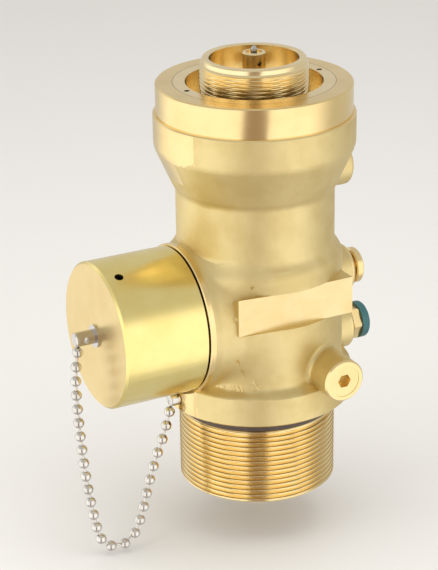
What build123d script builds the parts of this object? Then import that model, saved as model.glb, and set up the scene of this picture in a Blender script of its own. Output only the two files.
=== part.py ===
"""Cylinder valve of a fire suppression system, with its outlet safety cap on a ball chain.

Millimetres. The origin is the centre of the shoulder that seats on the cylinder neck, +Z runs up
the valve axis, the outlet points along -X, and the service ports face +X and -Y.
Threads are plain cylinders at their major radius.
"""

import math
import os

from build123d import *

# Clearances, and how far a cut runs past the face that it opens
running_gap = 0.05
drill_overlap = 1.0
tool_run = 4.0

# Inlet thread, 2 1/2 in with 12 threads to the inch, its bore and its neck seal
inlet_r = 31.75
inlet_length = 37.3
inlet_chamfer = 1.2
inlet_bore_r = 20.5
dip_tube_wall = 3.4
dip_tube_depth = 22.0
dip_tube_step = 2.0
neck_seal_section = 4.8
neck_seal_inset = 0.75
gland_height = 5.0
seat_ring_r = 33.7
seat_ring_height = 0.3

# Seat, chamber and bonnet seat
seat_z = 16.5
seat_land = 3.0
seat_taper = 0.8
seat_rise = 3.0
seat_seal_overlap = 1.1
poppet_rim = 1.2
poppet_gap = 1.5
bonnet_step = 4.2
bonnet_height = 28.8

# Body column, from the shoulder up: radii by their walls, heights by their steps
collar_step = 3.7
collar_height = 11.5
collar_edge = 0.6
cove_height = 4.5
body_wall = 7.3
body_top_z = 58.5
shoulder_height = 9.0
neck_wall = 4.0
flare_curve_low = 4.2
flare_height = 13.2
flare_curve_high = 3.4
flare_step = 1.6
flare_inset = 0.75
head_wall = 7.95
head_height = 11.0
ring_wall = 6.75
ring_height = 11.8
ring_edge = 0.5
ring_groove = 0.5
top_z = 129.8

# Outlet: thread, hub and the blend behind it as (depth, growth, exponent) from circle to square
outlet_z = 37.8
outlet_thread_r = 25.4
outlet_length = 21.7
outlet_wall = 5.6
outlet_edge = 1.0
hub_reach = 0.7
hub_rim = 2.2
hub_edge = 0.4
hub_wall = 2.0
hub_margin = 0.7
hub_points = 24
hub_blend = [
    (0.9, -0.4, 2.0),
    (4.7, 0.0, 2.0),
    (9.3, 1.6, 2.4),
    (14.3, 3.5, 3.0),
    (22.3, 4.4, 3.3),
    (31.3, 4.5, 3.4),
]

# Marking pad
pad_depth = 3.0
pad_left_x = -24.5
pad_right_x = 26.0
pad_low_z = 39.2
pad_high_z = 54.2
pad_run_out = 8.0

# Ports: boss, threaded socket and the drilling behind it
boss_r = 10.0
boss_reach = 6.6
boss_edge = 1.6
boss_fillet = 2.0
pilot_boss_r = 9.3
pilot_boss_reach = 8.9
pilot_port_drop = 16.5
port_r = 5.0
port_depth = 8.0
drilling_r = 1.1
drilling_low_z = 1.5
relief_z = 44.6
gauge_z = 19.8
side_port_x = 13.6
side_port_z = 18.3
side_reach = 12.4
side_boss_r = 8.55
side_boss_edge = 0.6
side_plug_r = 6.5
side_drill_angle = 23.6

# Piston
lift = 14.7
lift_stop_gap = 0.3
crown_height = 16.0
crown_edge = 1.0
crown_flare = 4.0
crown_groove = 3.1
crown_groove_rise = 4.95
crown_seal_section = 3.0
stem_r = 8.0
stem_flare = 3.0
stem_bore_r = 2.0
poppet_height = 7.5
poppet_skirt = 1.0
seat_seal_bore_r = 15.0
seat_seal_height = 2.8
retainer_gap = 1.0
retainer_height = 2.6
retainer_edge = 0.8
retainer_screw_r = 4.0
retainer_head_r = 6.5
retainer_head_height = 4.4
retainer_socket_af = 6.0
retainer_socket_floor = 1.2
bleed_r = 0.6
spring_pocket_r = 12.5
spring_pocket_depth = 10.0
spring_mean_r = 9.5
spring_wire_r = 1.0
spring_turns = 6

# Bonnet and its actuator spigot, M42 x 1.5
bonnet_nose = 6.0
bonnet_pocket_depth = 6.0
bonnet_groove = 2.3
bonnet_groove_rise = 1.4
bonnet_seal_section = 2.1
bonnet_bore_r = 3.0
spigot_r = 21.0
spigot_rise = 9.5
spigot_lead_r = 20.1
spigot_lead = 2.7
spigot_step = 0.6
spigot_edge = 0.5
spigot_bore_r = 17.3
spigot_bore_edge = 0.4
spigot_depth = 8.8
recess_wall = 4.8
recess_depth = 10.0
spanner_hole_r = 1.1
spanner_hole_inset = 2.6
spanner_hole_depth = 5.0

# Pilot valve in the middle of the bonnet
post_r = 4.5
post_rise = 1.8
post_edge = 0.4
post_recess_r = 3.1
post_recess_depth = 1.3
post_thread_r = 6.0
post_thread_length = 22.5
post_hex_af = 13.0
post_hex_height = 2.5
pilot_seat_drop = 17.1
pilot_cavity_r = 3.7
pilot_vent_r = 2.2
pilot_guide = 1.6
pilot_vent_hole_r = 0.9
pilot_vent_hole_drop = 3.9
pin_r = 1.2
pin_rise = 2.2
pin_tip_r = 0.5
pin_taper = 1.0
pin_head_r = 3.2
pin_head_height = 3.0
pin_seal_height = 1.6
pin_spring_r = 2.3
pin_wire_r = 0.35
pin_spring_turns = 5
pin_plug_height = 3.0
pin_plug_bore_r = 1.1
pin_plug_slot = 1.0

# Outlet safety cap and its swivel
cap_length = 34.9
cap_gap = 0.4
cap_wall = 2.9
cap_floor = 4.0
cap_thread_length = 12.0
cap_thread_start = 5.0
cap_thread_relief = 0.8
cap_edge = 0.9
cap_rim_edge = 0.4
cap_inner_edge = 1.0
cap_body_gap = 1.2
cap_vent_r = 1.75
cap_vent_inset = 6.1
cap_vent_angle = 21.7
cap_vents = 4
stud_r = 2.9
stud_length = 8.2
stud_edge = 0.5
stud_pin_r = 2.0
stud_pin_tail = 0.8
stud_hole_r = 1.2
stud_hole_reach = 4.8
washer_r = 4.6
washer_height = 0.8
clip_r = 3.9
clip_height = 0.9
clip_gap = 0.1
clip_slot = 1.6

# Chain and its anchor on the collar
chain_d = 4.4
chain_entry_r = 0.8
chain_corner_share = 0.45
anchor_y = -4.2
anchor_z = 5.2
anchor_r = 2.3
anchor_head_r = 2.7
anchor_head_round = 0.8
anchor_reach = 3.6
anchor_depth = 6.0
chain_route = [
    (-77.8, 0.0, 34.6),
    (-79.4, -0.1, 27.0),
    (-79.8, -0.2, 14.0),
    (-78.9, -0.3, -4.0),
    (-77.3, -0.4, -23.0),
    (-74.6, -0.5, -41.0),
    (-72.4, -0.7, -51.4),
    (-68.2, -1.1, -55.6),
    (-62.6, -1.7, -56.0),
    (-57.9, -2.2, -52.9),
    (-54.3, -2.6, -43.4),
    (-51.3, -3.0, -30.6),
    (-47.8, -3.4, -18.6),
    (-43.6, -3.8, -8.4),
    (-41.1, -4.1, 2.2),
]

# Relief plug with its burst disc
relief_depth = 9.8
relief_neck_r = 4.3
relief_neck_reach = 2.1
relief_flange_r = 7.3
relief_flange_height = 3.3
relief_flange_edge = 0.5
relief_bore_r = 2.2
relief_bore_past = 1.2
relief_vent_r = 0.9
relief_vent_inset = 1.6
relief_socket_depth = 1.8
relief_washer_height = 1.0
counterbore_r = 6.6
counterbore_depth = 1.2
burst_disc_r = 4.6
burst_disc_height = 0.4

# Gauge fitting with its spring-loaded core and dust cap
gauge_end_gap = 0.5
gauge_nose_r = 5.4
gauge_nose_reach = 1.2
gauge_nose_edge = 0.6
gauge_hex_af = 13.0
gauge_hex_height = 3.8
gauge_hex_cone = (9.8, 7.0)
gauge_nipple = 2.5
gauge_bore_r = 1.3
gauge_cap_r = 7.6
gauge_cap_top = 1.2
gauge_cap_dome = 1.2
gauge_cap_gap = 0.2
core_cavity_r = 2.9
core_floor = 1.5
core_pin_r = 0.9
core_tail = 1.0
core_head_r = 2.4
core_head_height = 2.0
core_seat_depth = 3.9
core_tip_depth = 0.4
core_spring_r = 1.75
core_wire_r = 0.3
core_spring_turns = 5

# Plugs of the side port and the pilot port
plug_length = 8.0
plug_socket_af = 5.0
plug_socket_depth = 4.0
plug_recess = 0.2
plug_seal_section = 1.8
plug_seal_play = 0.1
plug_seal_land = 0.7

# Radii and places that follow from the sizes above
dip_tube_r = inlet_bore_r + dip_tube_wall
neck_seal_mean_r = inlet_r - neck_seal_inset
seat_seal_r = inlet_bore_r + seat_land + seat_seal_overlap
retainer_r = inlet_bore_r - retainer_gap
poppet_r = seat_seal_r + poppet_rim
chamber_r = poppet_r + poppet_gap
bonnet_r = chamber_r + bonnet_step
body_r = chamber_r + body_wall
neck_r = chamber_r + neck_wall
collar_r = body_r + collar_step
head_r = bonnet_r + head_wall
ring_r = bonnet_r + ring_wall
recess_r = bonnet_r - recess_wall

neck_z = body_top_z + shoulder_height
ring_z = top_z - ring_height
head_z = ring_z - head_height
pilot_port_z = head_z - pilot_port_drop
bonnet_seat_z = top_z - bonnet_height
bonnet_low_z = bonnet_seat_z - bonnet_nose
bonnet_groove_z = bonnet_low_z + bonnet_groove_rise
crown_top_z = bonnet_low_z - lift_stop_gap - lift
crown_z = crown_top_z - crown_height
crown_groove_z = crown_z + crown_groove_rise
poppet_top_z = seat_z + poppet_height
spigot_top_z = top_z + spigot_rise
spigot_floor_z = spigot_top_z - spigot_depth
post_low_z = spigot_floor_z - post_thread_length
post_top_z = spigot_top_z + post_rise
pilot_seat_z = post_top_z - pilot_seat_drop
pin_head_z = pilot_seat_z - pin_seal_height - pin_head_height

hub_face_x = -body_r - hub_reach
outlet_end_x = hub_face_x - outlet_length
outlet_bore_r = outlet_thread_r - outlet_wall
cap_relief_r = outlet_thread_r + cap_thread_relief
cap_r = cap_relief_r + cap_wall
hub_r = cap_r + hub_margin
cap_face_x = hub_face_x - cap_gap - cap_length
stud_low_x = cap_face_x - washer_height

boss_face_x = body_r + boss_reach
pilot_boss_x = neck_r + pilot_boss_reach
side_face_y = -body_r - side_reach
relief_floor_x = boss_face_x - relief_depth
relief_low_x = relief_floor_x + relief_washer_height + burst_disc_height
relief_flange_x = boss_face_x + relief_neck_reach
relief_face_x = relief_flange_x + relief_flange_height
gauge_floor_x = boss_face_x - port_depth
gauge_low_x = gauge_floor_x + gauge_end_gap
gauge_hex_x = boss_face_x + gauge_nose_reach
gauge_hex_end_x = gauge_hex_x + gauge_hex_height
gauge_nipple_x = gauge_hex_end_x + gauge_nipple
core_seat_x = gauge_nipple_x - core_seat_depth
core_low_x = core_seat_x - core_head_height
anchor_floor_x = anchor_depth - collar_r

UP = (0, 0, 1)
OUT = (1, 0, 0)
OUTLET_WAY = (-1, 0, 0)
FRONT = (0, -1, 0)
BACK = (0, 1, 0)


def on_axis(part, origin, direction):
    """Puts a part that was made along +Z on an axis through origin."""
    return Plane(origin=origin, z_dir=direction) * part


def rod(radius, origin, direction, length):
    """A cylinder from origin along direction."""
    bar = Cylinder(radius, length, align=(Align.CENTER, Align.CENTER, Align.MIN))
    return on_axis(bar, origin, direction)


def tube(outer, inner, origin, direction, length):
    """A round bar with a bore through it."""
    return rod(outer, origin, direction, length) - rod(inner, origin, direction, length)


def turned(outline):
    """A solid turned about +Z from a closed outline of (radius, height)."""
    return revolve(Plane.XZ * make_face(outline), Axis.Z)


def hexagon_bar(across_flats, origin, direction, length):
    """A six-sided bar with one corner along the plane's own X."""
    side = RegularPolygon(across_flats / 2, 6, major_radius=False, rotation=30)
    return Plane(origin=origin, z_dir=direction) * extrude(side, length)


def seal_ring(mean_r, section, origin, direction):
    """An O-ring round an axis."""
    return on_axis(Torus(mean_r, section / 2), origin, direction)


def coil_spring(mean_r, wire_r, turns, origin, direction, height):
    """A coil spring from origin along direction, with its wire inside its height."""
    rise = height - 2 * wire_r
    path = Helix(pitch=rise / turns, height=rise, radius=mean_r)
    wire = Plane(origin=path @ 0, z_dir=path % 0) * Circle(wire_r)
    coil = Pos(0, 0, wire_r) * sweep(wire, path)
    return on_axis(coil, origin, direction)


def body_column():
    """The turned outside of the valve body, without its outlet and bosses."""
    cove_z = collar_height + cove_height
    gland_r = neck_seal_mean_r - neck_seal_section / 2
    low = Polyline(
        (0, -inlet_length),
        (inlet_r - inlet_chamfer, -inlet_length),
        (inlet_r, inlet_chamfer - inlet_length),
        (inlet_r, -gland_height),
        (gland_r, -gland_height),
        (gland_r, seat_ring_height),
        (seat_ring_r, seat_ring_height),
        (seat_ring_r, 0),
        (collar_r - collar_edge, 0),
        (collar_r, collar_edge),
        (collar_r, collar_height),
    )
    cove = Spline(
        (collar_r, collar_height),
        (body_r, cove_z),
        tangents=[(-0.6, 1), (0, 1)],
    )
    barrel = Line((body_r, cove_z), (body_r, body_top_z))
    shoulder = Spline(
        (body_r, body_top_z),
        (neck_r, neck_z),
        tangents=[(0, 1), (0, 1)],
    )
    flare_low_r = neck_r + flare_step
    flare_high_r = head_r - flare_inset
    flare_high_z = head_z - flare_curve_high
    flare_low_z = flare_high_z - flare_height
    flare_z = flare_low_z - flare_curve_low
    neck = Line((neck_r, neck_z), (neck_r, flare_z))
    slope = (flare_high_r - flare_low_r) / flare_height
    flare = Spline(
        (neck_r, flare_z),
        (flare_low_r, flare_low_z),
        tangents=[(0, 1), (slope, 1)],
    )
    flare += Line((flare_low_r, flare_low_z), (flare_high_r, flare_high_z))
    flare += Spline(
        (flare_high_r, flare_high_z),
        (head_r, head_z),
        tangents=[(slope, 1), (0, 1)],
    )
    head = Polyline(
        (head_r, head_z),
        (head_r, ring_z - ring_groove),
        (head_r - ring_groove, ring_z),
        (ring_r, ring_z),
        (ring_r, top_z - ring_edge),
        (ring_r - ring_edge, top_z),
        (0, top_z),
        (0, -inlet_length),
    )
    return turned(low + cove + barrel + shoulder + neck + flare + head)


def hub_section(depth, growth, exponent):
    """A cross-section of the hub's blend, between a circle and a rounded square."""
    points = []
    for i in range(hub_points):
        angle = 2 * math.pi * i / hub_points
        c, s = math.cos(angle), math.sin(angle)
        r = (hub_r + growth) / (abs(c) ** exponent + abs(s) ** exponent) ** (1 / exponent)
        points.append((hub_face_x + depth, r * c, outlet_z + r * s))
    return make_face(Spline(*points, periodic=True))


def outlet_hub():
    """The outlet thread, the hub's machined rim and the forged blend into the body."""
    reach = -outlet_end_x
    face = -hub_face_x
    core_r = outlet_bore_r + hub_wall
    outline = Polyline(
        (0, 0),
        (core_r, 0),
        (core_r, face - hub_rim),
        (hub_r, face - hub_rim),
        (hub_r, face - hub_edge),
        (hub_r - hub_edge, face),
        (outlet_thread_r, face),
        (outlet_thread_r, reach - outlet_edge),
        (outlet_thread_r - outlet_edge, reach),
        (0, reach),
        (0, 0),
    )
    rim = on_axis(turned(outline), (0, 0, outlet_z), OUTLET_WAY)
    return rim + loft([hub_section(*row) for row in hub_blend])


def cap_relief():
    """The spot face that clears the cap where it reaches over the collar."""
    start = (hub_face_x, 0, outlet_z)
    length = collar_r + hub_face_x + tool_run
    return tube(cap_r + cap_body_gap, outlet_thread_r, start, OUTLET_WAY, length)


def marking_pad_block():
    """The block behind the marking pad, which stands out at its right end."""
    width = pad_right_x - pad_left_x
    depth = body_r - pad_depth
    block = Box(width, depth, pad_high_z - pad_low_z, align=(Align.MIN, Align.MIN, Align.MIN))
    return Pos(pad_left_x, -depth, pad_low_z) * block


def marking_pad_cut():
    """What is milled off in front of the marking pad."""
    width = pad_right_x + pad_run_out - pad_left_x
    cut = Box(width, body_r, pad_high_z - pad_low_z, align=(Align.MIN, Align.MAX, Align.MIN))
    return Pos(pad_left_x, pad_depth - body_r, pad_low_z) * cut


def bosses(root_r, low_z, high_z, rods, radius):
    """A plain column with round bosses that run into it through a fillet."""
    column = rod(root_r, (0, 0, low_z), UP, high_z - low_z)
    for boss in rods:
        column += boss
    joins = [e for e in column.edges() if e.geom_type not in (GeomType.CIRCLE, GeomType.LINE)]
    return fillet(joins, radius)


def barrel_bosses():
    """The side port's boss towards -Y, and those of the relief plug and gauge towards +X."""
    side = rod(side_boss_r, (side_port_x, 0, side_port_z), FRONT, -side_face_y)
    rods = [chamfer(side.edges().group_by(Axis.Y)[0], side_boss_edge)]
    for z in (relief_z, gauge_z):
        boss = rod(boss_r, (0, 0, z), OUT, boss_face_x)
        rods.append(fillet(boss.edges().group_by(Axis.X)[-1], boss_edge))
    low_z = gauge_z - boss_r - 2 * boss_fillet
    return bosses(body_r, low_z, body_top_z, rods, boss_fillet)


def pilot_boss():
    """The boss of the pilot port, below the head."""
    boss = rod(pilot_boss_r, (0, 0, pilot_port_z), OUT, pilot_boss_x)
    boss = fillet(boss.edges().group_by(Axis.X)[-1], boss_edge)
    return bosses(neck_r, neck_z, head_z, [boss], boss_fillet)


def drilling(start, end):
    """A drilled gas passage between two points."""
    run = Vector(*end) - Vector(*start)
    return rod(drilling_r, start, run, run.length)


def body_bores():
    """Everything that is bored along the valve axis and the outlet axis."""
    low_z = -inlet_length - tool_run
    high_z = top_z + tool_run
    land_r = inlet_bore_r + seat_land
    floor_z = seat_z - seat_rise
    axial = Polyline(
        (0, low_z),
        (dip_tube_r, low_z),
        (dip_tube_r, dip_tube_depth - inlet_length),
        (inlet_bore_r, dip_tube_depth - inlet_length + dip_tube_step),
        (inlet_bore_r, seat_z),
        (land_r, seat_z),
        (land_r + seat_taper, floor_z),
        (chamber_r, floor_z),
        (chamber_r, bonnet_seat_z),
        (bonnet_r, bonnet_seat_z),
        (bonnet_r, high_z),
        (0, high_z),
        (0, low_z),
    )
    outlet = rod(outlet_bore_r, (0, 0, outlet_z), OUTLET_WAY, tool_run - outlet_end_x)
    return turned(axial) + (outlet - rod(chamber_r - 1, (0, 0, 0), UP, seat_z))


def port_sockets():
    """The threaded sockets of the four ports and the drillings behind them."""
    relief = rod(port_r, (relief_floor_x, 0, relief_z), OUT, relief_depth + tool_run)
    start_x = boss_face_x - counterbore_depth
    relief += rod(counterbore_r, (start_x, 0, relief_z), OUT, counterbore_depth + tool_run)
    gauge = rod(port_r, (gauge_floor_x, 0, gauge_z), OUT, port_depth + tool_run)
    pilot_floor_x = pilot_boss_x - port_depth
    pilot = rod(port_r, (pilot_floor_x, 0, pilot_port_z), OUT, port_depth + tool_run)
    side_floor_y = side_face_y + plug_length
    side_floor = (side_port_x, side_floor_y, side_port_z)
    side = rod(side_plug_r, side_floor, FRONT, plug_length + tool_run)
    gauge_foot = (gauge_floor_x + drill_overlap, 0, gauge_z)
    relief_foot = (relief_floor_x + drill_overlap / 2, 0, relief_z)
    pilot_foot = (pilot_floor_x + drill_overlap, 0, pilot_port_z)
    side_foot = (side_port_x, side_floor_y - drill_overlap, side_port_z)
    inside_r = inlet_bore_r - drill_overlap / 2
    bearing = math.radians(side_drill_angle)
    drillings = drilling(gauge_foot, (inside_r, 0, drilling_low_z))
    drillings += drilling(relief_foot, gauge_foot)
    drillings += drilling(pilot_foot, (chamber_r - drill_overlap / 2, 0, pilot_port_z))
    drillings += drilling(side_foot, (inside_r * math.sin(bearing), -inside_r * math.cos(bearing), 0))
    return relief + gauge + pilot + side + drillings


def anchor_hole():
    """The blind hole of the chain's anchor screw in the collar."""
    start = (anchor_floor_x, anchor_y, anchor_z)
    return rod(anchor_r, start, OUTLET_WAY, anchor_depth + tool_run)


def make_valve_body():
    """The forged brass body with its collar, neck, outlet hub, bosses and bores."""
    body = body_column() + outlet_hub() + barrel_bosses() + pilot_boss()
    body -= marking_pad_cut() + cap_relief()
    body += marking_pad_block()
    return body - body_bores() - port_sockets() - anchor_hole()


def make_neck_seal():
    """The O-ring under the shoulder, which seals on the cylinder neck."""
    return seal_ring(neck_seal_mean_r, neck_seal_section, (0, 0, -gland_height / 2), UP)


def make_piston():
    """The brass piston: poppet, stem and crown, with a bleed passage up its middle."""
    crown_r = chamber_r - running_gap
    groove_r = crown_r - crown_seal_section
    seal_top_z = seat_z + seat_seal_height
    skirt_z = seat_z + poppet_skirt
    pocket_z = crown_top_z - spring_pocket_depth
    outline = Polyline(
        (0, seat_z),
        (seat_seal_bore_r, seat_z),
        (seat_seal_bore_r, seal_top_z),
        (seat_seal_r, seal_top_z),
        (seat_seal_r, skirt_z),
        (poppet_r, skirt_z),
        (poppet_r, poppet_top_z - crown_edge),
        (poppet_r - crown_edge, poppet_top_z),
        (stem_r + stem_flare, poppet_top_z),
        (stem_r, poppet_top_z + stem_flare),
        (stem_r, crown_z - crown_flare),
        (stem_r + crown_flare, crown_z),
        (crown_r - crown_edge, crown_z),
        (crown_r, crown_z + crown_edge),
        (crown_r, crown_groove_z),
        (groove_r, crown_groove_z),
        (groove_r, crown_groove_z + crown_groove),
        (crown_r, crown_groove_z + crown_groove),
        (crown_r, crown_top_z - crown_edge),
        (crown_r - crown_edge, crown_top_z),
        (spring_pocket_r, crown_top_z),
        (spring_pocket_r, pocket_z),
        (0, pocket_z),
        (0, seat_z),
    )
    screw_run = poppet_height + drill_overlap
    screw_hole = rod(retainer_screw_r, (0, 0, seat_z), UP, screw_run + drill_overlap)
    bleed = rod(stem_bore_r, (0, 0, seat_z), UP, crown_top_z - seat_z)
    return turned(outline) - screw_hole - bleed


def make_piston_seal():
    """The O-ring in the piston's crown."""
    mean_r = chamber_r - running_gap - crown_seal_section / 2
    return seal_ring(mean_r, crown_seal_section, (0, 0, crown_groove_z + crown_groove / 2), UP)


def make_seat_seal():
    """The flat ring that closes on the seat."""
    return tube(seat_seal_r, seat_seal_bore_r, (0, 0, seat_z), UP, seat_seal_height)


def make_seal_retainer():
    """The disc that clamps the seat seal under the poppet."""
    start = (0, 0, seat_z - retainer_height)
    disc = tube(retainer_r, retainer_screw_r, start, UP, retainer_height)
    return chamfer(disc.edges().group_by(Axis.Z)[0].sort_by(SortBy.LENGTH)[-1], retainer_edge)


def make_retainer_screw():
    """The hollow cap screw that holds the retainer and meters the bleed."""
    head_low_z = seat_z - retainer_height - retainer_head_height
    shank = retainer_head_height + retainer_height + poppet_height
    screw = rod(retainer_head_r, (0, 0, head_low_z), UP, retainer_head_height)
    screw += rod(retainer_screw_r, (0, 0, head_low_z), UP, shank)
    socket_depth = retainer_head_height - retainer_socket_floor
    screw -= hexagon_bar(retainer_socket_af, (0, 0, head_low_z), UP, socket_depth)
    return screw - rod(bleed_r, (0, 0, head_low_z), UP, shank + drill_overlap)


def make_piston_spring():
    """The coil spring between the piston's crown and the bonnet."""
    low_z = crown_top_z - spring_pocket_depth
    height = bonnet_low_z + bonnet_pocket_depth - low_z
    return coil_spring(spring_mean_r, spring_wire_r, spring_turns, (0, 0, low_z), UP, height)


def make_bonnet():
    """The bonnet, screwed into the top of the body, with the actuator spigot."""
    nose_r = chamber_r - running_gap
    groove_r = nose_r - bonnet_seal_section
    outer_r = bonnet_r - running_gap
    pocket_z = bonnet_low_z + bonnet_pocket_depth
    lead_z = spigot_top_z - spigot_lead
    recess_z = top_z - recess_depth
    outline = Polyline(
        (0, pocket_z),
        (spring_pocket_r, pocket_z),
        (spring_pocket_r, bonnet_low_z),
        (nose_r, bonnet_low_z),
        (nose_r, bonnet_groove_z),
        (groove_r, bonnet_groove_z),
        (groove_r, bonnet_groove_z + bonnet_groove),
        (nose_r, bonnet_groove_z + bonnet_groove),
        (nose_r, bonnet_seat_z),
        (outer_r, bonnet_seat_z),
        (outer_r, top_z),
        (recess_r, top_z),
        (recess_r, recess_z),
        (spigot_r, recess_z),
        (spigot_r, lead_z),
        (spigot_lead_r, lead_z + spigot_step),
        (spigot_lead_r, spigot_top_z - spigot_edge),
        (spigot_lead_r - spigot_edge, spigot_top_z),
        (spigot_bore_r + spigot_bore_edge, spigot_top_z),
        (spigot_bore_r, spigot_top_z - spigot_bore_edge),
        (spigot_bore_r, spigot_floor_z),
        (0, spigot_floor_z),
        (0, pocket_z),
    )
    bonnet = turned(outline)
    bonnet -= rod(post_thread_r, (0, 0, post_low_z), UP, post_thread_length + drill_overlap)
    through = post_low_z - bonnet_low_z + drill_overlap
    bonnet -= rod(bonnet_bore_r, (0, 0, bonnet_low_z), UP, through)
    hole_x = bonnet_r - spanner_hole_inset
    for x in (-hole_x, hole_x):
        start = (x, 0, top_z - spanner_hole_depth)
        bonnet -= rod(spanner_hole_r, start, UP, spanner_hole_depth + tool_run)
    return bonnet


def make_bonnet_seal():
    """The O-ring round the bonnet's nose."""
    mean_r = chamber_r - running_gap - bonnet_seal_section / 2
    centre = (0, 0, bonnet_groove_z + bonnet_groove / 2)
    return seal_ring(mean_r, bonnet_seal_section, centre, UP)


def make_pilot_housing():
    """The pilot valve's housing: thread, hexagon and the post in the spigot."""
    housing = rod(post_thread_r, (0, 0, post_low_z), UP, post_thread_length)
    housing += hexagon_bar(post_hex_af, (0, 0, spigot_floor_z), UP, post_hex_height)
    post = rod(post_r, (0, 0, spigot_floor_z), UP, post_top_z - spigot_floor_z)
    housing += chamfer(post.edges().group_by(Axis.Z)[-1], post_edge)
    guide_top = post_top_z - post_recess_depth
    vent_run = guide_top - pilot_guide - pilot_seat_z
    housing -= rod(pilot_cavity_r, (0, 0, post_low_z), UP, pilot_seat_z - post_low_z)
    housing -= rod(pilot_vent_r, (0, 0, pilot_seat_z), UP, vent_run)
    housing -= rod(pin_r + running_gap, (0, 0, pilot_seat_z), UP, pilot_seat_drop)
    housing -= rod(post_recess_r, (0, 0, guide_top), UP, post_recess_depth + tool_run)
    vent_start = (0, -2 * post_r, post_top_z - pilot_vent_hole_drop)
    return housing - rod(pilot_vent_hole_r, vent_start, BACK, 4 * post_r)


def make_pilot_pin():
    """The pin that the actuator presses, with its valve head."""
    tip_z = post_top_z + pin_rise
    outline = Polyline(
        (0, pin_head_z),
        (pin_head_r, pin_head_z),
        (pin_head_r, pin_head_z + pin_head_height),
        (pin_r, pin_head_z + pin_head_height),
        (pin_r, tip_z - pin_taper),
        (pin_tip_r, tip_z),
        (0, tip_z),
        (0, pin_head_z),
    )
    return turned(outline)


def make_pilot_seal():
    """The soft washer on the pilot pin's head."""
    start = (0, 0, pilot_seat_z - pin_seal_height)
    return tube(pin_head_r, pin_r, start, UP, pin_seal_height)


def make_pilot_spring():
    """The spring that closes the pilot pin."""
    low_z = post_low_z + pin_plug_height
    height = pin_head_z - low_z
    return coil_spring(pin_spring_r, pin_wire_r, pin_spring_turns, (0, 0, low_z), UP, height)


def make_pilot_plug():
    """The slotted ring that carries the pilot spring."""
    plug = tube(pilot_cavity_r, pin_plug_bore_r, (0, 0, post_low_z), UP, pin_plug_height)
    slot = Box(3 * pilot_cavity_r, pin_plug_slot, 2 * pin_plug_slot)
    return plug - Pos(0, 0, post_low_z) * slot


def make_outlet_cap():
    """The safety cap of the outlet, with radial vents and a hole for the swivel."""
    hole_r = stud_pin_r + running_gap
    thread_r = outlet_thread_r + running_gap
    thread_high = cap_length - cap_thread_start
    thread_low = thread_high - cap_thread_length
    outline = Polyline(
        (hole_r, 0),
        (cap_r - cap_edge, 0),
        (cap_r, cap_edge),
        (cap_r, cap_length - cap_rim_edge),
        (cap_r - cap_rim_edge, cap_length),
        (cap_relief_r, cap_length),
        (cap_relief_r, thread_high),
        (thread_r, thread_high),
        (thread_r, thread_low),
        (cap_relief_r, thread_low),
        (cap_relief_r, cap_floor + cap_inner_edge),
        (cap_relief_r - cap_inner_edge, cap_floor),
        (hole_r, cap_floor),
        (hole_r, 0),
    )
    cap = on_axis(turned(outline), (cap_face_x, 0, outlet_z), OUT)
    for i in range(cap_vents):
        angle = math.radians(cap_vent_angle + i * 360 / cap_vents)
        outward = (0, -math.sin(angle), math.cos(angle))
        centre = (cap_face_x + cap_vent_inset, 0, outlet_z)
        cap -= rod(cap_vent_r, centre, outward, cap_r + tool_run)
    return cap


def make_cap_swivel():
    """The plated stud in the cap's face, with a cross-hole and the chain's entry."""
    start = (stud_low_x, 0, outlet_z)
    stud = rod(stud_r, start, OUTLET_WAY, stud_length)
    stud = chamfer(stud.edges().group_by(Axis.X)[0], stud_edge)
    pin_length = washer_height + cap_floor + clip_height + stud_pin_tail
    stud += rod(stud_pin_r, start, OUT, pin_length)
    hole = (cap_face_x - stud_hole_reach, -2 * stud_r, outlet_z)
    stud -= rod(stud_hole_r, hole, BACK, 4 * stud_r)
    entry = (chain_route[0][0], chain_route[0][1], outlet_z - 2 * stud_r)
    return stud - rod(chain_entry_r, entry, UP, 2 * stud_r)


def make_swivel_washer():
    """The plated washer under the stud."""
    return tube(washer_r, stud_pin_r, (stud_low_x, 0, outlet_z), OUT, washer_height)


def make_swivel_clip():
    """The retaining ring on the stud inside the cap."""
    start_x = cap_face_x + cap_floor + clip_gap
    ring = tube(clip_r, stud_pin_r, (start_x, 0, outlet_z), OUT, clip_height)
    gap = Box(2 * clip_height, clip_slot, 2 * clip_r - stud_pin_r)
    return ring - Pos(start_x + clip_height / 2, 0, outlet_z - clip_r) * gap


def chain_corner_radii():
    """The radius of the arc at each corner of the chain's route."""
    points = [Vector(*p) for p in chain_route]
    radii = []
    for before, corner, after in zip(points, points[1:], points[2:]):
        turn = math.radians((corner - before).get_angle(after - corner))
        shorter = min((corner - before).length, (after - corner).length)
        radii.append(chain_corner_share * shorter / math.tan(turn / 2))
    return radii


def make_ball_chain():
    """The chain as a plain round tube along its route."""
    radii = chain_corner_radii()
    path = FilletPolyline(*chain_route, radius=radii)
    start = Plane(origin=path @ 0, z_dir=path % 0)
    chain = sweep(start * Circle(chain_d / 2), path)
    straight = math.pi * chain_d**2 / 4 * path.length
    print("chain corner radii", [round(r, 1) for r in radii])
    print("chain length", round(path.length, 1), "volume ratio", round(chain.volume / straight, 4))
    return chain


def make_chain_anchor():
    """The plated screw in the collar that holds the chain's other end."""
    start = (anchor_floor_x, anchor_y, anchor_z)
    screw = rod(anchor_r, start, OUTLET_WAY, anchor_depth)
    face_x = -math.sqrt(collar_r**2 - (abs(anchor_y) - anchor_head_r) ** 2)
    head = rod(anchor_head_r, (face_x, anchor_y, anchor_z), OUTLET_WAY, anchor_reach)
    screw += fillet(head.edges().group_by(Axis.X)[0], anchor_head_round)
    entry = (chain_route[-1][0], anchor_y, anchor_z - 2 * anchor_head_r)
    return screw - rod(chain_entry_r, entry, UP, 2 * anchor_head_r)


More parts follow.
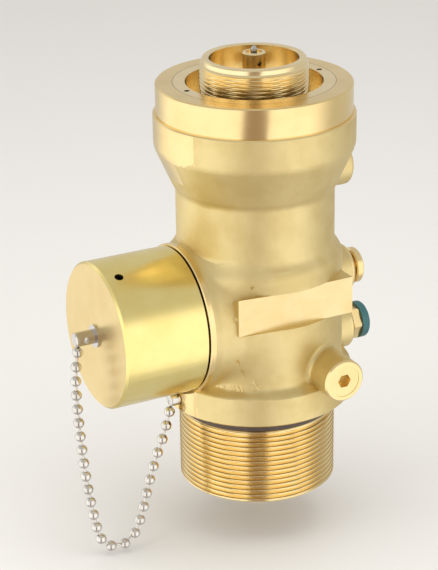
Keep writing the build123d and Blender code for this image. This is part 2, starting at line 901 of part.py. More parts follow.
def make_relief_plug():
    """The plug that clamps the burst disc: thread, neck and round flange, with vents."""
    low = (relief_low_x, 0, relief_z)
    plug = rod(port_r, low, OUT, boss_face_x - counterbore_depth - relief_low_x)
    plug += rod(relief_neck_r, low, OUT, relief_flange_x - relief_low_x)
    flange = rod(relief_flange_r, (relief_flange_x, 0, relief_z), OUT, relief_flange_height)
    plug += chamfer(flange.edges(), relief_flange_edge)
    plug -= rod(relief_bore_r, low, OUT, relief_flange_x - relief_low_x + relief_bore_past)
    vent = (relief_flange_x - relief_vent_inset, -2 * relief_neck_r, relief_z)
    plug -= rod(relief_vent_r, vent, BACK, 4 * relief_neck_r)
    socket = (relief_face_x - relief_socket_depth, 0, relief_z)
    return plug - hexagon_bar(plug_socket_af, socket, OUT, relief_socket_depth + tool_run)


def make_burst_disc():
    """The thin nickel disc that bursts at too high a pressure."""
    start = (relief_floor_x + relief_washer_height, 0, relief_z)
    return rod(burst_disc_r, start, OUT, burst_disc_height)


def make_relief_washer():
    """The copper ring under the burst disc."""
    start = (relief_floor_x, 0, relief_z)
    return tube(burst_disc_r, relief_bore_r, start, OUT, relief_washer_height)


def make_gauge_fitting():
    """The fitting of the gauge port: thread, nose, hexagon and nipple."""
    fitting = rod(port_r, (gauge_low_x, 0, gauge_z), OUT, boss_face_x - gauge_low_x)
    nose = rod(gauge_nose_r, (boss_face_x, 0, gauge_z), OUT, gauge_nose_reach)
    fitting += chamfer(nose.edges().group_by(Axis.X)[-1], gauge_nose_edge)
    hexagon = hexagon_bar(gauge_hex_af, (gauge_hex_x, 0, gauge_z), OUT, gauge_hex_height)
    low_r, high_r = gauge_hex_cone
    cone = Cone(low_r, high_r, gauge_hex_height, align=(Align.CENTER, Align.CENTER, Align.MIN))
    fitting += hexagon & on_axis(cone, (gauge_hex_x, 0, gauge_z), OUT)
    fitting += rod(port_r, (gauge_hex_end_x, 0, gauge_z), OUT, gauge_nipple)
    cavity_x = gauge_low_x + core_floor
    fitting -= rod(core_cavity_r, (cavity_x, 0, gauge_z), OUT, core_seat_x - cavity_x)
    bore_length = gauge_nipple_x - gauge_low_x
    return fitting - rod(gauge_bore_r, (gauge_low_x, 0, gauge_z), OUT, bore_length)


def make_gauge_core():
    """The spring-loaded core that the gauge opens."""
    core = rod(core_head_r, (core_low_x, 0, gauge_z), OUT, core_head_height)
    tail_x = core_low_x - core_tail
    pin_length = gauge_nipple_x - core_tip_depth - tail_x
    return core + rod(core_pin_r, (tail_x, 0, gauge_z), OUT, pin_length)


def make_gauge_spring():
    """The spring behind the gauge port's core."""
    low_x = gauge_low_x + core_floor
    start = (low_x, 0, gauge_z)
    return coil_spring(core_spring_r, core_wire_r, core_spring_turns, start, OUT, core_low_x - low_x)


def make_gauge_cap():
    """The plastic dust cap over the nipple."""
    start = (gauge_hex_end_x, 0, gauge_z)
    cap = rod(gauge_cap_r, start, OUT, gauge_nipple + gauge_cap_top)
    cap = fillet(cap.edges().group_by(Axis.X)[-1], gauge_cap_dome)
    return cap - rod(port_r + running_gap, start, OUT, gauge_nipple + gauge_cap_gap)


def socket_plug(radius, face, direction):
    """A flush plug with a hexagon socket and a seal groove near its inner end."""
    inward = Vector(*direction) * -1
    face = Vector(*face) + inward * plug_recess
    length = plug_length - plug_recess
    plug = rod(radius, face, inward, length)
    plug -= hexagon_bar(plug_socket_af, face, inward, plug_socket_depth)
    groove_width = plug_seal_section + plug_seal_play
    groove = face + inward * (length - plug_seal_land - groove_width)
    return plug - tube(radius + 1, radius - plug_seal_section, groove, inward, groove_width)


def plug_seal(radius, face, direction):
    """The O-ring in a plug's groove."""
    inward = Vector(*direction) * -1
    half_groove = (plug_seal_section + plug_seal_play) / 2
    centre = Vector(*face) + inward * (plug_length - plug_seal_land - half_groove)
    return seal_ring(radius - plug_seal_section / 2, plug_seal_section, centre, inward)


side_face = (side_port_x, side_face_y, side_port_z)
pilot_face = (pilot_boss_x, 0, pilot_port_z)
pieces = {
    "valve_body": make_valve_body(),
    "neck_seal": make_neck_seal(),
    "piston": make_piston(),
    "piston_seal": make_piston_seal(),
    "seat_seal": make_seat_seal(),
    "seal_retainer": make_seal_retainer(),
    "retainer_screw": make_retainer_screw(),
    "piston_spring": make_piston_spring(),
    "bonnet": make_bonnet(),
    "bonnet_seal": make_bonnet_seal(),
    "pilot_housing": make_pilot_housing(),
    "pilot_pin": make_pilot_pin(),
    "pilot_seal": make_pilot_seal(),
    "pilot_spring": make_pilot_spring(),
    "pilot_plug": make_pilot_plug(),
    "outlet_cap": make_outlet_cap(),
    "cap_swivel": make_cap_swivel(),
    "swivel_washer": make_swivel_washer(),
    "swivel_clip": make_swivel_clip(),
    "ball_chain": make_ball_chain(),
    "chain_anchor": make_chain_anchor(),
    "relief_plug": make_relief_plug(),
    "burst_disc": make_burst_disc(),
    "relief_washer": make_relief_washer(),
    "gauge_fitting": make_gauge_fitting(),
    "gauge_core": make_gauge_core(),
    "gauge_spring": make_gauge_spring(),
    "gauge_cap": make_gauge_cap(),
    "side_port_plug": socket_plug(side_plug_r, side_face, FRONT),
    "side_port_seal": plug_seal(side_plug_r, side_face, FRONT),
    "pilot_port_plug": socket_plug(port_r, pilot_face, OUT),
    "pilot_port_seal": plug_seal(port_r, pilot_face, OUT),
}

os.makedirs("parts", exist_ok=True)
for name, piece in pieces.items():
    piece.label = name
    export_step(piece, f"parts/{name}.step")
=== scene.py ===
"""Looks of a brass cylinder valve with an outlet cap on a ball chain.

Everything is in metres, in the frame of the solids: the origin is the centre of the shoulder,
+Z runs up the valve axis and the outlet points along -X.
"""

import logging
import math
from dataclasses import dataclass, field
from enum import Enum

import bmesh
import bpy
import numpy as np
from mathutils import Matrix, Vector


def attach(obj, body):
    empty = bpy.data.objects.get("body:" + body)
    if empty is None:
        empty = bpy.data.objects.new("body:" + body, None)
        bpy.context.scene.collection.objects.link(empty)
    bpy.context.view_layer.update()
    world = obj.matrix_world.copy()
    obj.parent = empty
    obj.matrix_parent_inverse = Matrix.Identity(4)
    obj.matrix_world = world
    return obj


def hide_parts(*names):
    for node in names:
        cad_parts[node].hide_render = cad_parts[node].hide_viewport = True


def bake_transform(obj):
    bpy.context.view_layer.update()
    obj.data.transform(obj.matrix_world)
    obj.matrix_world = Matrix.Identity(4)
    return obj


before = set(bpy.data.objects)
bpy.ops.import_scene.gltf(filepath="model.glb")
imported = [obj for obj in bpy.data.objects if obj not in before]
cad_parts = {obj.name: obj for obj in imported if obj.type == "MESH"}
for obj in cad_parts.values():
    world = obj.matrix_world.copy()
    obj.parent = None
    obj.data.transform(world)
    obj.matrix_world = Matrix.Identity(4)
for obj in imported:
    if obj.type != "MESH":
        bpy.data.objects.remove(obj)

log = logging.getLogger("valve")
MM = 0.001
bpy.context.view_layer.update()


class Way(Enum):
    """The axis that a turned part spins about, as an index into X, Y, Z."""

    X = 0
    Y = 1
    Z = 2


# ---- shader expressions


class Value:
    """A shader socket or a number that Python's operators work on."""

    def __init__(self, shader: "Shader", source: object) -> None:
        """Keeps the shader that new nodes go to, and the socket or number."""
        self.shader = shader
        self.source = source

    def _math(self, operation: str, *others: object) -> "Value":
        """Adds one Math node.

        Args:
            operation: The node's operation.
            others: The further inputs, as numbers or Values.

        Returns:
            The node's result.
        """
        inputs = {0: self}
        inputs.update({i + 1: other for i, other in enumerate(others)})
        return self.shader.node("ShaderNodeMath", {"operation": operation}, inputs)

    def __add__(self, other: object) -> "Value":
        """Sum."""
        return self._math("ADD", other)

    def __radd__(self, other: object) -> "Value":
        """Sum with a number on the left."""
        return self._math("ADD", other)

    def __sub__(self, other: object) -> "Value":
        """Difference."""
        return self._math("SUBTRACT", other)

    def __rsub__(self, other: object) -> "Value":
        """A number less this value."""
        return Value(self.shader, other)._math("SUBTRACT", self)

    def __mul__(self, other: object) -> "Value":
        """Product."""
        return self._math("MULTIPLY", other)

    def __rmul__(self, other: object) -> "Value":
        """Product with a number on the left."""
        return self._math("MULTIPLY", other)

    def __pow__(self, other: object) -> "Value":
        """Power."""
        return self._math("POWER", other)

    def root(self) -> "Value":
        """Square root."""
        return self._math("SQRT")

    def size(self) -> "Value":
        """The value without its sign."""
        return self._math("ABSOLUTE")

    def bearing(self, other: "Value") -> "Value":
        """The angle of the direction whose side part is this value and whose forward part is the other."""
        return self._math("ARCTAN2", other)

    def step(self, low: float, high: float) -> "Value":
        """Rises smoothly from 0 to 1 between two values."""
        settings = {"interpolation_type": "SMOOTHSTEP"}
        return self.shader.node("ShaderNodeMapRange", settings, {"Value": self, "From Min": low, "From Max": high})


class Shader:
    """The node tree of one material."""

    def __init__(self, name: str) -> None:
        """Makes the material with an empty tree, an output and a Principled shader."""
        self.material = bpy.data.materials.new(name)
        self.material.use_nodes = True
        self.tree = self.material.node_tree
        self.tree.nodes.clear()
        self.output = self.tree.nodes.new("ShaderNodeOutputMaterial")
        self.surface = self.tree.nodes.new("ShaderNodeBsdfPrincipled")
        self.tree.links.new(self.surface.outputs["BSDF"], self.output.inputs["Surface"])

    def node(self, kind: str, settings: dict | None = None, inputs: dict | None = None, out: object = 0) -> Value:
        """Adds a node.

        Args:
            kind: The node's type.
            settings: Its properties, such as an operation, set before the sockets.
            inputs: Socket name or index to a number, a tuple or a Value.
            out: The output's name or index.

        Returns:
            That output.
        """
        node = self.tree.nodes.new(kind)
        for name, value in (settings or {}).items():
            if name == "stops":
                while len(node.color_ramp.elements) < len(value):
                    node.color_ramp.elements.new(0.5)
                for element, (place, colour) in zip(node.color_ramp.elements, value):
                    element.position = place
                    element.color = colour
            else:
                setattr(node, name, value)
        for name, value in (inputs or {}).items():
            self._feed(node.inputs[name], value)
        return Value(self, node.outputs[out])

    def _feed(self, socket: object, value: object) -> None:
        """Links or sets one input."""
        source = value.source if isinstance(value, Value) else value
        if isinstance(source, bpy.types.NodeSocket):
            self.tree.links.new(source, socket)
        else:
            socket.default_value = source

    def set(self, **sockets: object) -> None:
        """Sets or links sockets of the Principled shader; an underscore stands for a space."""
        for name, value in sockets.items():
            self._feed(self.surface.inputs[name.replace("_", " ")], value)

    def place(self) -> tuple[Value, Value, Value]:
        """The point's X, Y and Z on the object, in metres."""
        where = self.node("ShaderNodeTexCoord", out="Object")
        parts = self.tree.nodes.new("ShaderNodeSeparateXYZ")
        self._feed(parts.inputs[0], where)
        return tuple(Value(self, out) for out in parts.outputs)

    def joined(self, x: object, y: object, z: object) -> Value:
        """A vector from three values."""
        return self.node("ShaderNodeCombineXYZ", None, {0: x, 1: y, 2: z})

    def noise(self, scale: float, detail: float = 2.0, rough: float = 0.5, vector: Value | None = None) -> Value:
        """Noise with features of about 1 / scale metres, from 0 to 1."""
        inputs = {"Scale": scale, "Detail": detail, "Roughness": rough}
        inputs["Vector"] = vector or self.node("ShaderNodeTexCoord", out="Object")
        return self.node("ShaderNodeTexNoise", None, inputs, "Fac")

    def mix(self, amount: object, first: object, second: object) -> Value:
        """A colour between two colours."""
        settings = {"data_type": "RGBA"}
        return self.node("ShaderNodeMix", settings, {0: amount, 6: first, 7: second}, 2)

    def bump(self, height: Value, depth: float, strength: float = 1.0) -> Value:
        """A normal from a height that runs from 0 to 1, with its depth in metres."""
        return self.node("ShaderNodeBump", None, {"Strength": strength, "Distance": depth, "Height": height})


class Sky(Shader):
    """The node tree of the surroundings."""

    def __init__(self, name: str) -> None:
        """Makes the world and keeps its own Background node as the surface."""
        self.world = bpy.data.worlds.new(name)
        self.world.use_nodes = True
        self.tree = self.world.node_tree
        self.surface = self.tree.nodes["Background"]

    def direction(self) -> tuple[Value, Value, Value]:
        """The X, Y and Z of the direction that is looked in."""
        where = self.node("ShaderNodeTexCoord", out="Generated")
        parts = self.tree.nodes.new("ShaderNodeSeparateXYZ")
        self._feed(parts.inputs[0], where)
        return tuple(Value(self, out) for out in parts.outputs)


def rgb(red: float, green: float, blue: float) -> tuple[float, float, float, float]:
    """A colour in linear light."""
    return (red, green, blue, 1.0)


# ---- finishes


@dataclass(frozen=True)
class ForgedBrass:
    """A hot-forged brass skin, blasted to a fine satin."""

    name: str = "forged_brass"
    light: tuple = rgb(0.81, 0.67, 0.34)
    dark: tuple = rgb(0.72, 0.57, 0.26)
    roughness: float = 0.5
    grain_size: float = 0.35 * MM
    grain_depth: float = 0.012 * MM
    dent_size: float = 3.0 * MM
    dent_depth: float = 0.05 * MM

    def build(self) -> bpy.types.Material:
        """Cloudy colour over broad dents and a fine blasted grain.

        Returns:
            The material.
        """
        shader = Shader(self.name)
        clouds = shader.noise(1 / (14 * MM), 3, 0.55)
        fine = shader.noise(1 / self.grain_size, 2, 0.6)
        dents = shader.noise(1 / self.dent_size, 2, 0.45)
        colour = shader.mix(clouds.step(0.35, 0.68) * 0.75 + fine * 0.15, self.light, self.dark)
        height = dents * (self.dent_depth / MM) + fine * (self.grain_depth / MM)
        shader.set(
            Base_Color=colour,
            Metallic=1.0,
            Roughness=self.roughness + (clouds - 0.5) * 0.10 + (fine - 0.5) * 0.08,
            Normal=shader.bump(height, MM),
        )
        return shader.material


@dataclass(frozen=True)
class TurnedMetal:
    """Metal turned on a lathe, with fine rings about its own axis."""

    name: str
    colour: tuple
    shade: tuple
    roughness: float = 0.2
    way: Way = Way.Z
    centre: tuple = (0.0, 0.0, 0.0)
    feed: float = 0.18 * MM
    ring_depth: float = 0.0015 * MM
    smear: float = 0.08
    # Radius and width of a painted shade line along the seam between bonnet and body; a radius of 0 leaves it out.
    shaded_seam_r: float = 0.0
    shaded_seam_width: float = 0.22 * MM

    def build(self) -> bpy.types.Material:
        """Rings by height along the axis and by distance from it.

        Returns:
            The material.
        """
        shader = Shader(self.name)
        place = shader.place()
        along = place[self.way.value]
        across = [p - c for i, (p, c) in enumerate(zip(place, self.centre)) if i != self.way.value]
        reach = (across[0] * across[0] + across[1] * across[1]).root()
        rings = shader.noise(1 / self.feed, 2, 0.7, shader.joined(along, reach, 0.0))
        bands = shader.noise(1 / (9 * self.feed), 2, 0.5, shader.joined(along, reach, 0.0))
        cloud = shader.noise(1 / (11 * MM), 2, 0.5)
        colour = shader.mix(cloud.step(0.3, 0.75) * 0.6 + bands * 0.25, self.colour, self.shade)
        # A dark brown line at the bonnet's radius is painted shade in the seam between the bonnet and the body.
        if self.shaded_seam_r:
            off_shaded_seam = (reach - self.shaded_seam_r).size().step(0.3 * self.shaded_seam_width, self.shaded_seam_width)
            colour = shader.mix((1 - off_shaded_seam) * 0.6, colour, rgb(0.22, 0.13, 0.06))
        shader.set(
            Base_Color=colour,
            Metallic=1.0,
            Roughness=self.roughness + (rings - 0.5) * self.smear + (cloud - 0.5) * 0.06,
            Normal=shader.bump(rings, self.ring_depth),
        )
        return shader.material


@dataclass(frozen=True)
class MilledMetal:
    """A flat that a mill has faced, with fine straight strokes."""

    name: str
    colour: tuple
    shade: tuple
    roughness: float = 0.3

    def build(self) -> bpy.types.Material:
        """Strokes along X, thin across Z.

        Returns:
            The material.
        """
        shader = Shader(self.name)
        x, y, z = shader.place()
        strokes = shader.noise(1 / (0.25 * MM), 2, 0.6, shader.joined(x * 0.03, y, z))
        cloud = shader.noise(1 / (9 * MM), 2, 0.5)
        shader.set(
            Base_Color=shader.mix(cloud.step(0.3, 0.75) * 0.5 + strokes * 0.3, self.colour, self.shade),
            Metallic=1.0,
            Roughness=self.roughness + (strokes - 0.5) * 0.12,
            Normal=shader.bump(strokes, 0.002 * MM),
        )
        return shader.material


@dataclass(frozen=True)
class SoftStuff:
    """Rubber or plastic."""

    name: str
    colour: tuple
    shade: tuple
    roughness: float
    coat: float = 0.0
    grain: float = 0.3 * MM
    depth: float = 0.01 * MM

    def build(self) -> bpy.types.Material:
        """A slightly uneven colour over a moulded grain.

        Returns:
            The material.
        """
        shader = Shader(self.name)
        cloud = shader.noise(1 / (3 * MM), 3, 0.5)
        grain = shader.noise(1 / self.grain, 2, 0.6)
        shader.set(
            Base_Color=shader.mix(cloud.step(0.3, 0.7), self.colour, self.shade),
            Roughness=self.roughness + (grain - 0.5) * 0.15,
            Coat_Weight=self.coat,
            Normal=shader.bump(grain, self.depth),
        )
        return shader.material


BRASS = rgb(0.90, 0.71, 0.36)
BRASS_SHADE = rgb(0.83, 0.62, 0.28)
FORGED = ForgedBrass().build()
BONNET_R = 31.5 * MM
TURNED = TurnedMetal("turned_brass", BRASS, BRASS_SHADE, 0.2, shaded_seam_r=BONNET_R).build()
SPIGOT_BRASS = TurnedMetal("spigot_brass", rgb(0.93, 0.78, 0.47), rgb(0.88, 0.70, 0.37), 0.22, shaded_seam_r=BONNET_R).build()
MILLED = MilledMetal("milled_brass", rgb(0.90, 0.74, 0.42), BRASS_SHADE, 0.42).build()
OUTLET_Z = 37.8 * MM
CAP_SIDE = TurnedMetal(
    "polished_brass", rgb(0.91, 0.77, 0.33), rgb(0.86, 0.69, 0.25), 0.23, Way.X, (0, 0, OUTLET_Z), 0.25 * MM,
    0.0008 * MM, 0.05
).build()
CAP_FACE = TurnedMetal(
    "faced_brass", rgb(0.86, 0.68, 0.33), rgb(0.80, 0.6, 0.26), 0.3, Way.X, (0, 0, OUTLET_Z), 0.22 * MM
).build()
PORT_BRASS = TurnedMetal("port_brass", BRASS, BRASS_SHADE, 0.24, Way.X, (0, 0, 19.8 * MM)).build()
SIDE_BRASS = TurnedMetal("side_brass", BRASS, BRASS_SHADE, 0.26, Way.Y, (13.6 * MM, 0, 18.3 * MM)).build()
STEEL = TurnedMetal("stainless_steel", rgb(0.62, 0.61, 0.59), rgb(0.5, 0.49, 0.47), 0.25).build()
NICKEL = TurnedMetal("nickel", rgb(0.74, 0.71, 0.67), rgb(0.6, 0.57, 0.53), 0.16, Way.X, (0, 0, OUTLET_Z)).build()
COPPER = TurnedMetal("copper", rgb(0.80, 0.42, 0.27), rgb(0.62, 0.3, 0.18), 0.35).build()
RUBBER = SoftStuff("black_rubber", rgb(0.085, 0.055, 0.045), rgb(0.06, 0.042, 0.036), 0.42, 0.15).build()
WHITE = SoftStuff("seal_plastic", rgb(0.78, 0.77, 0.73), rgb(0.7, 0.69, 0.65), 0.45).build()
TEAL = SoftStuff("teal_plastic", rgb(0.035, 0.15, 0.165), rgb(0.03, 0.125, 0.14), 0.42, 0.1).build()


# ---- meshes


def lathe(axis: Way, radius: np.ndarray, along: np.ndarray, angle: np.ndarray, centre: np.ndarray) -> np.ndarray:
    """Points on a surface about an axis: radius and angle place each point round it, along gives its height.

    Args:
        axis: The axis of the surface.
        radius: Distances from the axis.
        along: Coordinates along the axis.
        angle: Angles about it, from the next axis in the order X, Y, Z.
        centre: A point on the axis.

    Returns:
        The points, with a last dimension of 3.
    """
    first = (axis.value + 1) % 3
    second = (axis.value + 2) % 3
    radius, along, angle = np.broadcast_arrays(radius, along, angle)
    points = np.empty(radius.shape + (3,))
    points[..., axis.value] = along
    points[..., first] = centre[first] + radius * np.cos(angle)
    points[..., second] = centre[second] + radius * np.sin(angle)
    return points


def grid_quads(rows: int, columns: int, closed: bool) -> np.ndarray:
    """The quads of a grid of points stored row by row.

    Args:
        rows: The number of rows.
        columns: The number of columns.
        closed: Whether the last column joins the first.

    Returns:
        The quads' corner numbers.
    """
    index = np.arange(rows * columns).reshape(rows, columns)
    right = np.roll(index, -1, axis=1)
    quads = np.stack([index[:-1], right[:-1], right[1:], index[1:]], axis=-1)
    return (quads if closed else quads[:, :-1]).reshape(-1, 4)


def new_object(name: str, points: np.ndarray, faces: list, material: bpy.types.Material) -> bpy.types.Object:
    """A smooth mesh object at the origin.

    Args:
        name: The piece's name.
        points: Its vertices.
        faces: Its faces, as lists of corner numbers.
        material: Its material.

    Returns:
        The object.
    """
    mesh = bpy.data.meshes.new(name)
    mesh.from_pydata(points.reshape(-1, 3).tolist(), [], faces)
    mesh.polygons.foreach_set("use_smooth", np.ones(len(mesh.polygons), bool))
    mesh.materials.append(material)
    mesh.update()
    piece = bpy.data.objects.new(name, mesh)
    bpy.context.scene.collection.objects.link(piece)
    return piece


def merged(node: str) -> tuple[np.ndarray, np.ndarray]:
    """A solid's mesh with its loose triangles joined at their corners.

    Args:
        node: The solid's name.

    Returns:
        The vertices and the triangles.
    """
    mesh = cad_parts[node].data
    points = np.empty(len(mesh.vertices) * 3)
    mesh.vertices.foreach_get("co", points)
    mesh.calc_loop_triangles()
    corners = np.empty(len(mesh.loop_triangles) * 3, int)
    mesh.loop_triangles.foreach_get("vertices", corners)
    keys = np.round(points.reshape(-1, 3) / (0.0002 * MM)).astype(np.int64)
    _, first, number = np.unique(keys, axis=0, return_index=True, return_inverse=True)
    triangles = number.reshape(-1)[corners].reshape(-1, 3)
    whole = np.all(triangles != np.roll(triangles, 1, axis=1), axis=1)
    return points.reshape(-1, 3)[first], triangles[whole]


@dataclass
class Thread:
    """A thread cut in a round wall of a solid."""

    axis: Way
    radius: float
    low: float
    high: float
    pitch: float
    depth: float
    centre: tuple = (0.0, 0.0, 0.0)
    inside: bool = False
    fine: int = 3
    rows_per_turn: int = 14

    def profile(self, along: np.ndarray, angle: np.ndarray) -> np.ndarray:
        """The depth of the groove, from 0 on the crest to 1 at the root.

        A triangle wave in height less the turned share of a pitch, cut flat at the crest and the
        root, which runs out over the last half pitch at both ends.
        """
        phase = along / self.pitch - angle / (2 * math.pi)
        wave = np.abs((phase % 1.0) - 0.5) * 2
        groove = np.clip(wave * 1.45 - 0.22, 0, 1)
        ends = np.minimum(along - self.low, self.high - along) / (0.6 * self.pitch)
        return groove * np.clip(ends, 0, 1)

    def cut(self, points: np.ndarray, triangles: np.ndarray) -> tuple[np.ndarray, list]:
        """Takes the plain wall out of a mesh and puts the threaded one in, joined at both rims.

        Args:
            points: The mesh's vertices.
            triangles: Its triangles.

        Returns:
            The new vertices and faces.
        """
        first, second = (self.axis.value + 1) % 3, (self.axis.value + 2) % 3
        dx = points[:, first] - self.centre[first]
        dy = points[:, second] - self.centre[second]
        along = points[:, self.axis.value]
        slack = 0.004 * MM
        on_wall = np.abs(np.hypot(dx, dy) - self.radius) < slack
        on_wall &= (along > self.low - slack) & (along < self.high + slack)
        wall = on_wall[triangles].all(axis=1)
        rim_low = np.flatnonzero(on_wall & (np.abs(along - self.low) < slack))
        rim_high = np.flatnonzero(on_wall & (np.abs(along - self.high) < slack))
        turn = np.arctan2(dy, dx)
        rim_low = rim_low[np.argsort(turn[rim_low])]
        rim_high = rim_high[np.argsort(turn[rim_high])]
        log.info("thread of %.1f mm: %d wall faces, rims of %d and %d", self.radius / MM, wall.sum(),
                 len(rim_low), len(rim_high))
        angles = turn[rim_low]
        gaps = (np.roll(angles, -1) - angles) % (2 * math.pi)
        steps = angles[:, None] + gaps[:, None] * np.arange(self.fine)[None] / self.fine
        columns = steps.reshape(-1)
        count = max(8, round((self.high - self.low) / self.pitch * self.rows_per_turn))
        levels = np.linspace(self.low, self.high, count + 1)[1:-1]
        heights, turns = np.meshgrid(levels, columns, indexing="ij")
        sign = 1 if self.inside else -1
        radius = self.radius + sign * self.depth * self.profile(heights, turns)
        body = lathe(self.axis, radius, heights, turns, np.array(self.centre))
        start = len(points)
        rows, width = heights.shape
        quads = grid_quads(rows, width, True) + start
        faces = triangles[~wall].tolist() + (quads[:, ::-1] if self.inside else quads).tolist()
        faces += self._rim(rim_low, angles, start, width, self.inside)
        faces += self._rim(rim_high, turn[rim_high], start + (rows - 1) * width, width, not self.inside)
        return np.vstack([points, body.reshape(-1, 3)]), faces

    def _rim(self, rim: np.ndarray, angles: np.ndarray, start: int, width: int, flip: bool) -> list:
        """The faces between a rim of the solid and the nearest row of the thread.

        Each face spans one edge of the rim and the fine columns beside it.
        """
        number = len(rim)
        fine = width // number
        faces = []
        for i in range(number):
            row = [start + (i * fine + k) % width for k in range(fine + 1)]
            face = [int(rim[i]), int(rim[(i + 1) % number])] + row[::-1]
            faces.append(face[::-1] if flip else face)
        return faces


def sharpen(piece: bpy.types.Object, degrees: float) -> None:
    """Keeps the edges hard where faces meet at more than an angle, and weighs the normals by area."""
    piece.data.set_sharp_from_angle(angle=math.radians(degrees))
    weigh = piece.modifiers.new("weigh", "WEIGHTED_NORMAL")
    weigh.keep_sharp = True
    weigh.weight = 80


def facets(piece: bpy.types.Object) -> tuple[np.ndarray, np.ndarray]:
    """The centre and the normal of each face of a piece."""
    polygons = piece.data.polygons
    centres = np.empty(len(polygons) * 3)
    normals = np.empty(len(polygons) * 3)
    polygons.foreach_get("center", centres)
    polygons.foreach_get("normal", normals)
    return centres.reshape(-1, 3), normals.reshape(-1, 3)


@dataclass
class Hub:
    """The forged hub behind the outlet: nearly round, and met by the barrel in a soft hollow."""

    face_x: float = -35.3 * MM
    radius: float = 29.8 * MM
    growth: float = 1.6 * MM
    growth_start: float = 4.0 * MM
    growth_end: float = 20.0 * MM
    hollow: float = 4.0 * MM
    barrel_r: float = 34.6 * MM
    neck_r: float = 31.3 * MM
    shoulder_low: float = 58.5 * MM
    shoulder_high: float = 67.5 * MM
    collar_r: float = 38.3 * MM
    cove_low: float = 11.5 * MM
    cove_high: float = 16.0 * MM
    cove_slope: float = -0.6
    cove_slack: float = 0.3 * MM
    low_fade: float = 2.5 * MM
    relaxations: int = 12
    high_z: float = 74.0 * MM
    pad_y: float = -31.6 * MM
    pad_left_x: float = -24.5 * MM
    longest_edge: float = 1.3 * MM

    def column_radius(self, z: np.ndarray) -> np.ndarray:
        """The radius of the column.

        Barrel and neck are two constants with a smooth step between them. The cove is a cubic that
        leaves the collar at a slope and ends upright on the barrel.
        """
        share = np.clip((z - self.shoulder_low) / (self.shoulder_high - self.shoulder_low), 0, 1)
        radius = self.barrel_r + (self.neck_r - self.barrel_r) * share * share * (3 - 2 * share)
        height = self.cove_high - self.cove_low
        down = np.clip((self.cove_high - z) / height, 0, 1)
        step = self.collar_r - self.barrel_r
        return radius + step * down * down * (3 - 2 * down) + self.cove_slope * height * (1 - down) * down * down

    def outside(self, points: np.ndarray) -> np.ndarray:
        """Which points lie on the hub's own skin, off the barrel, the rim and the marking pad."""
        x, y, z = points.T
        from_axis = np.hypot(y, z - OUTLET_Z)
        skin = (x > self.face_x + 1.0 * MM) & (x < -2 * MM) & (z > self.cove_low) & (z < self.high_z)
        skin &= (from_axis > self.radius - 1.5 * MM) & (from_axis < self.radius + 14 * MM)
        slack = np.where(z < self.cove_high, self.cove_slack, 0.03 * MM)
        skin &= np.hypot(x, y) > self.column_radius(z) + slack
        on_pad = (np.abs(y - self.pad_y) < 0.02 * MM) & (x > self.pad_left_x - 0.1 * MM)
        return skin & ~on_pad

    def divide(self, points: np.ndarray, faces: list) -> tuple[np.ndarray, list]:
        """Splits the long edges of the hub's skin.

        Args:
            points: The mesh's vertices.
            faces: Its faces.

        Returns:
            The new vertices and faces.
        """
        mesh = bpy.data.meshes.new("fine")
        mesh.from_pydata(points.tolist(), [], faces)
        work = bmesh.new()
        work.from_mesh(mesh)
        for _ in range(6):
            places = np.array([v.co for v in work.verts])
            ends = np.array([(e.verts[0].index, e.verts[1].index) for e in work.edges])
            skin = self.outside(places)
            reach = np.linalg.norm(places[ends[:, 0]] - places[ends[:, 1]], axis=1)
            chosen = np.flatnonzero((reach > self.longest_edge) & skin[ends].any(axis=1))
            if not len(chosen):
                break
            work.edges.ensure_lookup_table()
            cut = bmesh.ops.subdivide_edges(work, edges=[work.edges[i] for i in chosen], cuts=1)
            touched = {f for v in cut["geom_inner"] if isinstance(v, bmesh.types.BMVert) for f in v.link_faces}
            bmesh.ops.triangulate(work, faces=[f for f in touched if len(f.verts) > 3])
            work.verts.index_update()
            work.edges.index_update()
        work.to_mesh(mesh)
        work.free()
        places = np.empty(len(mesh.vertices) * 3)
        mesh.vertices.foreach_get("co", places)
        faces = [list(p.vertices) for p in mesh.polygons]
        bpy.data.meshes.remove(mesh)
        return places.reshape(-1, 3), faces

    def distance(self, points: np.ndarray) -> np.ndarray:
        """How far the new skin lies from the outlet's axis, on the ray through each point.

        The greater of the hub's own radius and the distance at which the ray leaves the barrel,
        rounded into each other: where they differ by less than the hollow h,
        (h - difference)^2 / 4h is added.

        Args:
            points: Points on or above the skin.

        Returns:
            The distances.
        """
        x, y, z = points.T
        away = np.hypot(y, z - OUTLET_Z)
        side, up = y / away, (z - OUTLET_Z) / away
        near, far = np.zeros_like(away), away + 1 * MM
        for _ in range(30):
            middle = (near + far) / 2
            within = np.hypot(x, middle * side) < self.column_radius(OUTLET_Z + middle * up)
            near, far = np.where(within, middle, near), np.where(within, far, middle)
        depth = np.clip((x - self.face_x - self.growth_start) / (self.growth_end - self.growth_start), 0, 1)
        hub = self.radius + self.growth * depth * depth * (3 - 2 * depth)
        overlap = np.clip(self.hollow - np.abs(hub - near), 0, None)
        return np.maximum(hub, near) + overlap**2 / (4 * self.hollow)

    def drawn(self, points: np.ndarray, share: np.ndarray | float, outwards: bool) -> np.ndarray:
        """Moves points along their rays by a share of the way to the new skin, and outwards only if allowed."""
        away = np.hypot(points[:, 1], points[:, 2] - OUTLET_Z)
        target = self.distance(points)
        if not outwards:
            target = np.minimum(target, away)
        scale = 1 + share * (target / away - 1)
        return np.column_stack([points[:, 0], points[:, 1] * scale, OUTLET_Z + (points[:, 2] - OUTLET_Z) * scale])

